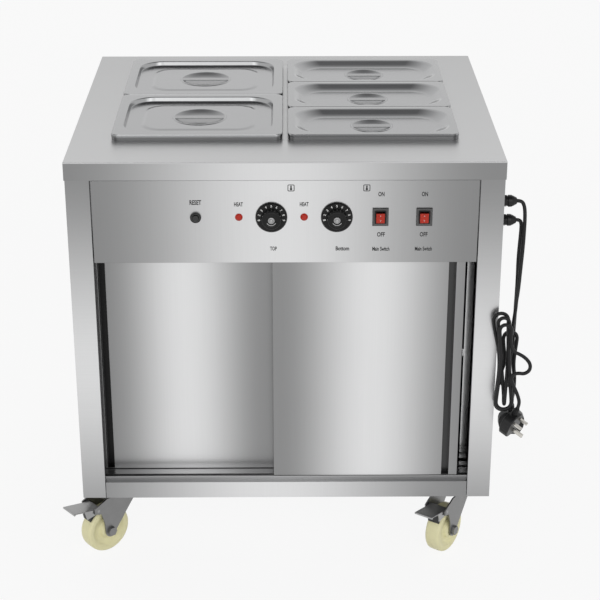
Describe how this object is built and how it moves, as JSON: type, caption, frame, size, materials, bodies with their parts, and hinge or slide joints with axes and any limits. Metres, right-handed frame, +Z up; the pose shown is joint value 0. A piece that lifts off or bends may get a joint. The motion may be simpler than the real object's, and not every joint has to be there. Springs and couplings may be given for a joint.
{
  "type": "heated food serving trolley",
  "caption": "Square stainless heated serving trolley with lift-out lidded food pans over a wet well, a heated cupboard behind sliding doors, control knobs and braked swivel castors.",
  "frame": {"origin": "on the floor, under the middle of the cabinet", "axes": "+Z up, +Y from the front to the back, +X to the right of someone who stands in front of it"},
  "size_m": [0.9168, 0.8119, 0.863],
  "materials": {
    "brushed_stainless": "fine brushed",
    "pan_stainless": "bright drawn",
    "zinc_plate": "bright zinc plated",
    "brake_steel": "pressed and zinc plated",
    "wheel_nylon": "moulded, cream",
    "element_sheath": "heat darkened sheath",
    "insulation": "mineral wool slab",
    "knob_black": "moulded, satin gloss",
    "rocker_red": "translucent moulded",
    "lamp_red": "clear red lens",
    "control_black": "moulded",
    "control_body": "moulded",
    "lead_rubber": "smooth",
    "plug_black": "moulded"
  },
  "bodies": {
    "cabinet": {"worktop": "brushed_stainless", "pan_bars": "brushed_stainless", "well_tank": "brushed_stainless", "tank_element": "element_sheath", "tank_insulation": "insulation", "side_panel_left": "brushed_stainless", "side_panel_right": "brushed_stainless", "back_panel": "brushed_stainless", "base_tray": "brushed_stainless", "chassis_rails": "brushed_stainless", "cupboard_liner": "brushed_stainless", "cupboard_shelf": "brushed_stainless", "cupboard_element": "element_sheath", "bottom_track": "brushed_stainless", "top_track": "brushed_stainless", "control_panel": "brushed_stainless", "thermostats": "control_body", "indicator_lamps": "lamp_red", "reset_cutout": "control_black", "switch_housings": "control_black", "terminal_block": "control_body", "castor_plates": "zinc_plate", "castor_bolts": "zinc_plate", "gland_upper": "plug_black", "gland_lower": "plug_black", "cord_upper": "lead_rubber", "cord_lower": "lead_rubber", "hank_upper": "lead_rubber", "hank_lower": "lead_rubber", "plug_upper": "plug_black", "plug_lower": "plug_black"},
    "door_left": {"door_left": "brushed_stainless"},
    "door_right": {"door_right": "brushed_stainless"},
    "knob_top": {"knob_top": "knob_black"},
    "knob_bottom": {"knob_bottom": "knob_black"},
    "rocker_main": {"rocker_main": "rocker_red"},
    "rocker_second": {"rocker_second": "rocker_red"},
    "reset_button": {"reset_button": "control_black"},
    "pan_half_front": {"pan_half_front": "pan_stainless"},
    "lid_half_front": {"lid_half_front": "pan_stainless"},
    "pan_half_rear": {"pan_half_rear": "pan_stainless"},
    "lid_half_rear": {"lid_half_rear": "pan_stainless"},
    "pan_third_front": {"pan_third_front": "pan_stainless"},
    "lid_third_front": {"lid_third_front": "pan_stainless"},
    "pan_third_middle": {"pan_third_middle": "pan_stainless"},
    "lid_third_middle": {"lid_third_middle": "pan_stainless"},
    "pan_third_rear": {"pan_third_rear": "pan_stainless"},
    "lid_third_rear": {"lid_third_rear": "pan_stainless"},
    "castor_fork_front_left": {"castor_fork_front_left": "zinc_plate"},
    "castor_wheel_front_left": {"castor_wheel_front_left": "wheel_nylon"},
    "castor_brake_front_left": {"castor_brake_front_left": "brake_steel"},
    "castor_fork_front_right": {"castor_fork_front_right": "zinc_plate"},
    "castor_wheel_front_right": {"castor_wheel_front_right": "wheel_nylon"},
    "castor_brake_front_right": {"castor_brake_front_right": "brake_steel"},
    "castor_fork_rear_left": {"castor_fork_rear_left": "zinc_plate"},
    "castor_wheel_rear_left": {"castor_wheel_rear_left": "wheel_nylon"},
    "castor_brake_rear_left": {"castor_brake_rear_left": "brake_steel"},
    "castor_fork_rear_right": {"castor_fork_rear_right": "zinc_plate"},
    "castor_wheel_rear_right": {"castor_wheel_rear_right": "wheel_nylon"},
    "castor_brake_rear_right": {"castor_brake_rear_right": "brake_steel"}
  },
  "joints": [
    {"name": "door_left_slide", "type": "slide", "parent": "cabinet", "child": "door_left", "axis": [1, 0, 0], "range_m": [-0.027, 0.413]},
    {"name": "door_right_slide", "type": "slide", "parent": "cabinet", "child": "door_right", "axis": [1, 0, 0], "range_m": [-0.377, 0.063]},
    {"name": "knob_top_turn", "type": "hinge", "parent": "cabinet", "child": "knob_top", "pos_m": [-0.0259, -0.3585, 0.7425], "axis": [0, 1, 0], "range_deg": [0, 300]},
    {"name": "knob_bottom_turn", "type": "hinge", "parent": "cabinet", "child": "knob_bottom", "pos_m": [0.0952, -0.3585, 0.7425], "axis": [0, 1, 0], "range_deg": [0, 300]},
    {"name": "rocker_main_tilt", "type": "hinge", "parent": "cabinet", "child": "rocker_main", "pos_m": [0.176, -0.3545, 0.7425], "axis": [1, 0, 0], "range_deg": [-20, 0]},
    {"name": "rocker_second_tilt", "type": "hinge", "parent": "cabinet", "child": "rocker_second", "pos_m": [0.2572, -0.3545, 0.7425], "axis": [1, 0, 0], "range_deg": [-20, 0]},
    {"name": "reset_button_push", "type": "slide", "parent": "cabinet", "child": "reset_button", "axis": [0, 1, 0], "range_m": [0, 0.003], "stiffness_N_per_m": 400},
    {"name": "pan_half_front_lift", "type": "slide", "parent": "cabinet", "child": "pan_half_front", "axis": [0, 0, 1], "range_m": [0, 0.16]},
    {"name": "lid_half_front_lift", "type": "slide", "parent": "pan_half_front", "child": "lid_half_front", "axis": [0, 0, 1], "range_m": [0, 0.1]},
    {"name": "pan_half_rear_lift", "type": "slide", "parent": "cabinet", "child": "pan_half_rear", "axis": [0, 0, 1], "range_m": [0, 0.16]},
    {"name": "lid_half_rear_lift", "type": "slide", "parent": "pan_half_rear", "child": "lid_half_rear", "axis": [0, 0, 1], "range_m": [0, 0.1]},
    {"name": "pan_third_front_lift", "type": "slide", "parent": "cabinet", "child": "pan_third_front", "axis": [0, 0, 1], "range_m": [0, 0.16]},
    {"name": "lid_third_front_lift", "type": "slide", "parent": "pan_third_front", "child": "lid_third_front", "axis": [0, 0, 1], "range_m": [0, 0.1]},
    {"name": "pan_third_middle_lift", "type": "slide", "parent": "cabinet", "child": "pan_third_middle", "axis": [0, 0, 1], "range_m": [0, 0.16]},
    {"name": "lid_third_middle_lift", "type": "slide", "parent": "pan_third_middle", "child": "lid_third_middle", "axis": [0, 0, 1], "range_m": [0, 0.1]},
    {"name": "pan_third_rear_lift", "type": "slide", "parent": "cabinet", "child": "pan_third_rear", "axis": [0, 0, 1], "range_m": [0, 0.16]},
    {"name": "lid_third_rear_lift", "type": "slide", "parent": "pan_third_rear", "child": "lid_third_rear", "axis": [0, 0, 1], "range_m": [0, 0.1]},
    {"name": "castor_front_left_swivel", "type": "hinge", "parent": "cabinet", "child": "castor_fork_front_left", "pos_m": [-0.342, -0.285, 0.128], "axis": [0, 0, 1], "continuous": true},
    {"name": "castor_front_left_roll", "type": "hinge", "parent": "castor_fork_front_left", "child": "castor_wheel_front_left", "pos_m": [-0.37111, -0.30943, 0.05], "axis": [0.6428, -0.766, 0], "continuous": true},
    {"name": "castor_front_left_brake", "type": "hinge", "parent": "castor_fork_front_left", "child": "castor_brake_front_left", "pos_m": [-0.39256, -0.32742, 0.106], "axis": [0.6428, -0.766, 0], "range_deg": [-14, 2]},
    {"name": "castor_front_right_swivel", "type": "hinge", "parent": "cabinet", "child": "castor_fork_front_right", "pos_m": [0.342, -0.285, 0.128], "axis": [0, 0, 1], "continuous": true},
    {"name": "castor_front_right_roll", "type": "hinge", "parent": "castor_fork_front_right", "child": "castor_wheel_front_right", "pos_m": [0.3202, -0.31613, 0.05], "axis": [0.8192, -0.5736, 0], "continuous": true},
    {"name": "castor_front_right_brake", "type": "hinge", "parent": "castor_fork_front_right", "child": "castor_brake_front_right", "pos_m": [0.30414, -0.33906, 0.106], "axis": [0.8192, -0.5736, 0], "range_deg": [-14, 2]},
    {"name": "castor_rear_left_swivel", "type": "hinge", "parent": "cabinet", "child": "castor_fork_rear_left", "pos_m": [-0.342, 0.285, 0.128], "axis": [0, 0, 1], "continuous": true},
    {"name": "castor_rear_left_roll", "type": "hinge", "parent": "castor_fork_rear_left", "child": "castor_wheel_rear_left", "pos_m": [-0.3202, 0.31613, 0.05], "axis": [-0.8192, 0.5736, 0], "continuous": true},
    {"name": "castor_rear_left_brake", "type": "hinge", "parent": "castor_fork_rear_left", "child": "castor_brake_rear_left", "pos_m": [-0.30414, 0.33906, 0.106], "axis": [-0.8192, 0.5736, 0], "range_deg": [-14, 2]},
    {"name": "castor_rear_right_swivel", "type": "hinge", "parent": "cabinet", "child": "castor_fork_rear_right", "pos_m": [0.342, 0.285, 0.128], "axis": [0, 0, 1], "continuous": true},
    {"name": "castor_rear_right_roll", "type": "hinge", "parent": "castor_fork_rear_right", "child": "castor_wheel_rear_right", "pos_m": [0.37111, 0.30943, 0.05], "axis": [-0.6428, 0.766, 0], "continuous": true},
    {"name": "castor_rear_right_brake", "type": "hinge", "parent": "castor_fork_rear_right", "child": "castor_brake_rear_right", "pos_m": [0.39256, 0.32742, 0.106], "axis": [-0.6428, 0.766, 0], "range_deg": [-14, 2]}
  ]
}
